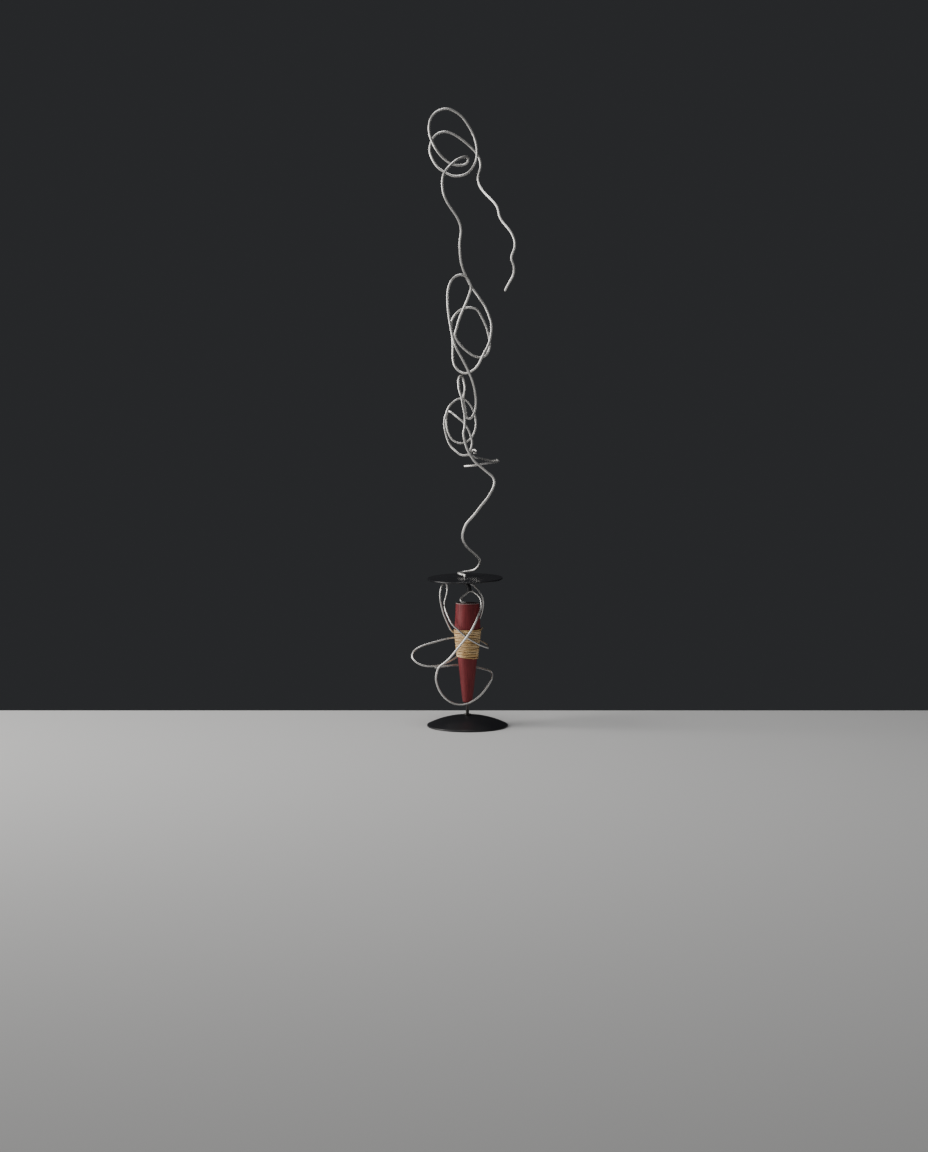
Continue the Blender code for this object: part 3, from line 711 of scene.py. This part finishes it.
def dark_steel_material():
    """Darkened turned steel with fine rings from the lathe."""
    steel_wear_and_rim_highlight = (0.11, 0.108, 0.105, 1.0)
    darkened = (0.05, 0.048, 0.046, 1.0)
    material, tree, shader = new_material("dark_steel_turned", 1.0, 0.34)
    rings = add_noise(tree, stretched(tree, (8.0, 8.0, 3000.0)), 1.0, 2.0)
    cloud = add_noise(tree, stretched(tree), 160.0, 3.0, 0.6)
    colour = blend_colours(tree, ramp(tree, cloud, 0.35, 0.7, 0.0, 1.0), steel_wear_and_rim_highlight, darkened)
    tree.links.new(colour, shader.inputs["Base Color"])
    tree.links.new(ramp(tree, rings, 0.3, 0.7, 0.26, 0.42), shader.inputs["Roughness"])
    add_bump(tree, shader, rings, 0.15, 0.0002)
    return material


def red_wood_material():
    """Turned wood with a dark red stain; a thin band round the top rim is a painted pale highlight, and
    the top face inside it is a darker grey.
    """
    stain = (0.225, 0.030, 0.036, 1.0)
    deep_stain = (0.110, 0.013, 0.017, 1.0)
    warm_stain = (0.270, 0.050, 0.054, 1.0)
    pore = (0.045, 0.007, 0.009, 1.0)
    # Darker grey of the top face inside the rim
    darker_top_face = (0.050, 0.020, 0.021, 1.0)
    # Pale colour of the painted highlight round the top rim
    painted_rim_highlight = (0.50, 0.42, 0.40, 1.0)
    rim_highlight_share = 0.8
    material, tree, shader = new_material("red_wood_turned", 0.0, 0.42)
    grain = add_noise(tree, stretched(tree, (420.0, 420.0, 14.0)), 1.0, 5.0, 0.62)
    broad = add_noise(tree, stretched(tree, (70.0, 70.0, 5.0)), 1.0, 3.0)
    pores = add_noise(tree, stretched(tree, (1500.0, 1500.0, 90.0)), 1.0, 2.0)
    rings = add_noise(tree, stretched(tree, (3.0, 3.0, 900.0)), 1.0, 2.0)
    colour = blend_colours(tree, ramp(tree, grain, 0.35, 0.68, 0.0, 1.0), stain, deep_stain)
    colour = blend_colours(tree, ramp(tree, broad, 0.38, 0.66, 0.0, 0.55), colour, warm_stain)
    dark = ramp(tree, pores, 0.62, 0.70, 0.0, 0.75)
    colour = blend_colours(tree, dark, colour, pore)
    place = tree.nodes.new("ShaderNodeSeparateXYZ")
    tree.links.new(stretched(tree), place.inputs["Vector"])
    near_top = ramp(tree, place.outputs["Z"], CONE_TOP - RIM_HIGHLIGHT_BAND, CONE_TOP - RIM_HIGHLIGHT_BAND / 2, 0.0, 1.0)
    reach = tree.nodes.new("ShaderNodeVectorMath")
    reach.operation = "LENGTH"
    tree.links.new(stretched(tree, (1.0, 1.0, 0.0)), reach.inputs[0])
    rim = CONE_TOP_DIAMETER / 2
    near_rim = ramp(tree, reach.outputs["Value"], rim - 2 * RIM_HIGHLIGHT_BAND, rim - RIM_HIGHLIGHT_BAND, 0.0, 1.0)
    # Mask of the band round the top rim that gets the painted highlight
    steel_wear_and_rim_highlight = arithmetic(tree, "MULTIPLY", near_top, near_rim)
    # Rest of the top face inside the rim band, made a darker grey
    top_face_mask = arithmetic(tree, "SUBTRACT", near_top, steel_wear_and_rim_highlight)
    colour = blend_colours(tree, top_face_mask, colour, darker_top_face)
    # Painted highlight: the band round the top rim is blended towards the pale colour
    colour = blend_colours(tree, arithmetic(tree, "MULTIPLY", steel_wear_and_rim_highlight, rim_highlight_share), colour, painted_rim_highlight)
    tree.links.new(colour, shader.inputs["Base Color"])
    tree.links.new(ramp(tree, grain, 0.3, 0.7, 0.50, 0.64), shader.inputs["Roughness"])
    shader.inputs["Specular IOR Level"].default_value = 0.25
    height = arithmetic(tree, "ADD", arithmetic(tree, "MULTIPLY", rings, 0.4),
                        arithmetic(tree, "MULTIPLY", dark, -0.8))
    add_bump(tree, shader, height, 0.25, 0.0003)
    return material


def cane_material():
    """Cane: pale straw turns, each a little different, with fine fibres and painted shade in the
    grooves between the turns.
    """
    straw = (0.92, 0.68, 0.37, 1.0)
    honey = (0.74, 0.47, 0.19, 1.0)
    patch = (0.52, 0.28, 0.10, 1.0)
    fibre = (0.34, 0.17, 0.06, 1.0)
    # Colour of the painted shade in the grooves between the turns
    painted_groove_shade = (0.13, 0.055, 0.018, 1.0)
    material, tree, shader = new_material("cane_strand", 0.0, 0.62)
    fibres = add_noise(tree, stretched(tree, (90.0, 90.0, 4200.0)), 1.0, 4.0, 0.6)
    turns = add_noise(tree, stretched(tree, (22.0, 22.0, 420.0)), 1.0, 2.0)
    patches = add_noise(tree, stretched(tree), 120.0, 3.0, 0.6)
    colour = blend_colours(tree, ramp(tree, turns, 0.40, 0.60, 0.0, 1.0), straw, honey)
    colour = blend_colours(tree, ramp(tree, patches, 0.50, 0.72, 0.0, 0.25), colour, patch)
    colour = blend_colours(tree, ramp(tree, fibres, 0.50, 0.70, 0.0, 0.3), colour, fibre)
    # Painted shade: each turn darkens towards its upper and lower edges, with the shade's edge broken
    # up by the patches
    groove = tree.nodes.new("ShaderNodeAttribute")
    groove.attribute_name = "groove"
    broken = arithmetic(tree, "ADD", groove.outputs["Fac"],
                        ramp(tree, patches, 0.3, 0.7, -0.22, 0.22))
    colour = blend_colours(tree, ramp(tree, broken, 0.50, 0.86, 0.0, 0.9), colour, painted_groove_shade)
    tree.links.new(colour, shader.inputs["Base Color"])
    tree.links.new(ramp(tree, fibres, 0.3, 0.7, 0.50, 0.72), shader.inputs["Roughness"])
    add_bump(tree, shader, fibres, 0.45, 0.0003)
    return material


def dress(piece, slot, material, *nodes):
    """Give a finished piece its material and its place on the one body; the slot is not used."""
    piece.data.materials.clear()
    piece.data.materials.append(material)
    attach(piece, "root")
    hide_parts(*nodes)


# Pieces
def make_base():
    """Domed disc with an upright edge and a socket for the rod."""
    radius = BASE_DIAMETER / 2
    rise = BASE_HEIGHT - BASE_EDGE
    sphere = (radius ** 2 + rise ** 2) / (2 * rise)
    start = math.acos(radius / sphere)
    end = math.acos(BORE_RADIUS / sphere)
    rings = [(radius, 0.0)] + arc_rings(BASE_HEIGHT - sphere, sphere, start, end, DOME_RINGS)
    rings.append((BORE_RADIUS, BASE_HEIGHT - ROD_SOCKET))
    base = turn_up("domed_base", rings, BASE_SIDES)
    round_edges(base, BASE_EDGE_ROUND, segments=3)
    return base


def make_collar():
    """Thin washer round the rod where it enters the dome."""
    bottom = BASE_HEIGHT + GAP
    top = bottom + COLLAR_THICKNESS
    outer = COLLAR_DIAMETER / 2
    rings = [(outer, bottom), (outer, top), (BORE_RADIUS, top), (BORE_RADIUS, bottom)]
    collar = turn_up("rod_collar", rings, COLLAR_SIDES, hollow=True)
    round_edges(collar, COLLAR_EDGE_ROUND, segments=3)
    return collar


def make_rod():
    """Straight rod from the dome's socket into the cone's bore."""
    bottom = BASE_HEIGHT - ROD_SOCKET + GAP
    top = CONE_BOTTOM + ROD_IN_CONE - GAP
    rod = turn_up("centre_rod", [(ROD_DIAMETER / 2, bottom), (ROD_DIAMETER / 2, top)], ROD_SIDES)
    round_edges(rod, ROD_EDGE_ROUND, segments=2)
    return rod


def make_cone():
    """Turned cone, point down, with a rounded tip, a soft shoulder and a crisp top rim."""
    lower = CONE_LOWER_DIAMETER / 2
    bore_end = CONE_BOTTOM + ROD_IN_CONE
    rings = [(BORE_RADIUS, bore_end), (BORE_RADIUS, CONE_BOTTOM)]
    for i in range(TIP_RINGS + 1):
        angle = math.pi / 2 * (i / TIP_RINGS)
        rings.append((lower - CONE_TIP_ROUND + CONE_TIP_ROUND * math.sin(angle),
                      CONE_BOTTOM + CONE_TIP_ROUND - CONE_TIP_ROUND * math.cos(angle)))
    for i in range(1, CONE_RINGS):
        height = CONE_BOTTOM + CONE_TIP_ROUND + (CONE_LENGTH - CONE_TIP_ROUND) * i / CONE_RINGS
        rings.append((cone_radius(height), height))
    rings.append((CONE_TOP_DIAMETER / 2, CONE_TOP))
    cone = turn_up("bound_cone", rings, CONE_SIDES)
    round_edges(cone, CONE_EDGE_ROUND, segments=3, angle=CONE_SHARP_EDGE)
    return cone


def make_pan():
    """Thin round plate with rounded edges, tilted a little to the front."""
    radius = PAN_DIAMETER / 2
    pan = turn_up("candle_pan", [(radius, 0.0), (radius, PAN_THICKNESS)], PAN_SIDES)
    round_edges(pan, PAN_EDGE_ROUND, segments=5)
    pan.matrix_world = pan_placement()
    settle(pan)
    return pan


def make_stub():
    """Short leaning stub between the pan's underside and the front wire below it."""
    under_pan = pan_face(PAN_SHIFT, 0.0, -GAP)
    below_pan = pan_face(PAN_SHIFT, 0.0, -GAP - END_STRAIGHT)
    highest = max(smooth_route(front_points()), key=lambda point: point.z)
    on_wire = highest + Vector((-STUB_OFFSET, 0.0, 0.0))
    over_wire = on_wire + Vector((0.0, 0.0, FRONT_WIRE_DIAMETER / 2 + GAP + END_STRAIGHT))
    points = [under_pan, below_pan, (below_pan + over_wire) / 2, over_wire, on_wire]
    return bent_wire("pan_post", points, STUB_DIAMETER, STUB_CUT)


def slanted(height, bearing):
    """Lift the left side of the lower turns, which run down to the right."""
    share = max(0.0, 1 - (height - BINDING_BOTTOM) / (SLANTED_SHARE * BINDING_HEIGHT))
    return height + CANE_SLANT * share * (1 - math.cos(bearing)) / 2


def make_edge_turn():
    """Last turn of the cane, a little thicker, laid along the slanting lower edge."""
    deselect_all()
    bpy.ops.mesh.primitive_torus_add(
        major_segments=EDGE_TURN_STEPS, minor_segments=EDGE_TURN_SIDES,
        major_radius=cone_radius(BINDING_BOTTOM) + EDGE_TURN_LIFT,
        minor_radius=EDGE_TURN_THICKNESS / 2, location=(0.0, 0.0, BINDING_BOTTOM + EDGE_TURN_RISE))
    turn = bpy.context.object
    turn.name = "cane_edge_turn"
    turn.data.name = "cane_edge_turn"
    settle(turn)
    for corner in turn.data.vertices:
        x, y, z = corner.co
        bearing = math.atan2(y, x)
        height = slanted(z, bearing)
        reach = math.hypot(x, y) + cone_radius(height) - cone_radius(z)
        corner.co = around(bearing, reach, height)
    bpy.ops.object.shade_smooth()
    return turn


def make_tie():
    """Loose end of the cane, brought up over the turns at the right and tucked in."""
    points = []
    for bearing, rise, lift in TIE_ROUTE:
        height = BINDING_BOTTOM + rise
        points.append(around(math.radians(bearing), cone_radius(height) + lift, height))
    return bent_wire("cane_tie", points, TIE_THICKNESS, CANE_CUT)


def make_cane_end():
    """Cut end of the cane that stands out at the upper right edge."""
    points = [around(math.radians(bearing), cone_radius(BINDING_TOP) + lift, BINDING_TOP + rise)
              for bearing, rise, lift in CANE_END_ROUTE]
    return bent_wire("cane_end", points, CANE_END_THICKNESS, CANE_CUT)


def make_binding():
    """One cane strand wound round the cone in close turns that sit a little unevenly.

    Its groove attribute is 0 on the crest of a turn and 1 at its upper and lower edges; the cane
    material paints shade into the grooves by it.
    """
    first = BINDING_BOTTOM + CANE_WIDTH / 2
    start_radius = cone_radius(BINDING_BOTTOM) + CANE_THICKNESS / 2
    pitch = (BINDING_HEIGHT - CANE_WIDTH) / CANE_TURNS
    deselect_all()
    bpy.ops.mesh.primitive_circle_add(
        vertices=CANE_SIDES, radius=0.5, fill_type="NOTHING",
        location=(start_radius, 0.0, first), rotation=(math.pi / 2, 0.0, 0.0))
    strand = bpy.context.object
    strand.name = "cane_binding"
    strand.data.name = "cane_binding"
    strand.scale = (CANE_THICKNESS, CANE_WIDTH, 1.0)
    settle(strand)
    screw = strand.modifiers.new("Winding", "SCREW")
    screw.axis = "Z"
    screw.steps = CANE_STEPS
    screw.render_steps = CANE_STEPS
    screw.iterations = CANE_TURNS
    screw.screw_offset = pitch
    bpy.ops.object.modifier_apply(modifier=screw.name)
    groove = strand.data.attributes.new("groove", "FLOAT", "POINT")
    for corner in strand.data.vertices:
        x, y, z = corner.co
        bearing = math.atan2(y, x)
        turn = corner.index // CANE_SIDES / CANE_STEPS
        off_crest = z - first - pitch * turn
        groove.data[corner.index].value = abs(off_crest) / (CANE_WIDTH / 2)
        wave = sum(size * math.sin(pace * turn) for size, pace in CANE_WAVES)
        swell = 1.0 + CANE_SWELL * math.sin(SWELL_PACE * turn + SWELL_START)
        height = slanted(z + wave, bearing)
        reach = cone_radius(height) + CANE_THICKNESS / 2 + (math.hypot(x, y) - start_radius) * swell
        corner.co = around(bearing, reach, height)
    bpy.ops.object.mode_set(mode="EDIT")
    fill_ends()
    face_outwards()
    bpy.ops.object.shade_smooth_by_angle(angle=CANE_SMOOTH_ANGLE)
    return strand


def make_floor():
    """Plain pale floor that ends a little behind the sculpture."""
    pale_grey = (0.56, 0.56, 0.56, 1.0)
    deselect_all()
    bpy.ops.mesh.primitive_plane_add(
        size=1.0, location=(0.0, (FLOOR_FRONT + FLOOR_BACK) / 2, 0.0))
    floor = bpy.context.object
    floor.name = "studio_floor"
    floor.scale = (2 * FLOOR_HALF_WIDTH, FLOOR_BACK - FLOOR_FRONT, 1.0)
    settle(floor)
    material, tree, shader = new_material("studio_paper", 0.0, 0.8)
    shader.inputs["Base Color"].default_value = pale_grey
    floor.data.materials.append(material)


def light_studio():
    """Tall soft key at the left, a wide box overhead and two weak ones at the right, in a dark room."""
    dark_room = (0.026, 0.027, 0.029, 1.0)
    soft_light("key", (-2.4, -0.4, 1.4), (0.0, 0.0, 0.6), (1.6, 2.7), 66.0, 140, (1.0, 0.98, 0.95))
    soft_light("front", (1.3, -2.3, 1.5), (0.0, 0.0, 0.3), (0.35, 0.35), 0.8, 110, (1.0, 1.0, 1.0))
    soft_light("overhead", (-0.3, -0.6, 4.0), (0.0, -0.3, 0.0), (1.8, 1.8), 24.0, 110, (1.0, 1.0, 1.0))
    soft_light("fill", (1.9, -1.2, 0.9), (0.0, 0.0, 0.55), (1.0, 1.0), 0.5, 90, (0.97, 0.98, 1.0))
    world = bpy.data.worlds.new("studio")
    world.use_nodes = True
    background = world.node_tree.nodes["Background"]
    background.inputs["Color"].default_value = dark_room
    background.inputs["Strength"].default_value = 1.0
    bpy.context.scene.world = world


def build():
    """Make the camera, the pieces, the floor and the lights."""
    place_camera()
    handled = handled_group()
    drawn = drawn_group()
    satin_black = black_paint_material("black_paint_satin", 0.34, handled, 0.10)
    gloss_black = black_paint_material("black_paint_gloss", 0.29, handled, 0.04)
    dark_steel = dark_steel_material()

    dress(make_base(), "black_paint", satin_black, "base")
    dress(make_collar(), "dark_steel", dark_steel, "collar")
    dress(make_rod(), "dark_steel", dark_steel, "rod")
    dress(make_cone(), "red_wood", red_wood_material(), "cone")
    cane = cane_material()
    dress(make_binding(), "cane", cane, "binding")
    dress(make_edge_turn(), "cane", cane, "binding")
    dress(make_tie(), "cane", cane, "binding")
    dress(make_cane_end(), "cane", cane, "binding")
    dress(make_pan(), "black_paint", gloss_black, "pan")
    dress(make_stub(), "black_paint", satin_black, "pan_stub")
    for name, points, diameter, node in (
            ("rising_wire", smoke_points(), SMOKE_WIRE_DIAMETER, "smoke_wire"),
            ("ringed_wire", ring_points(), RING_WIRE_DIAMETER, "ring_wire"),
            ("cone_wire_front", front_points(), FRONT_WIRE_DIAMETER, "lower_wire_front"),
            ("cone_wire_back", back_points(), BACK_WIRE_DIAMETER, "lower_wire_back")):
        steel = bright_wire_material(name + "_steel", route_length(points) / diameter, drawn)
        dress(bent_wire(name, points, diameter, diameter * WIRE_CUT_SHARE), "bright_steel", steel, node)
    make_floor()
    light_studio()


build()
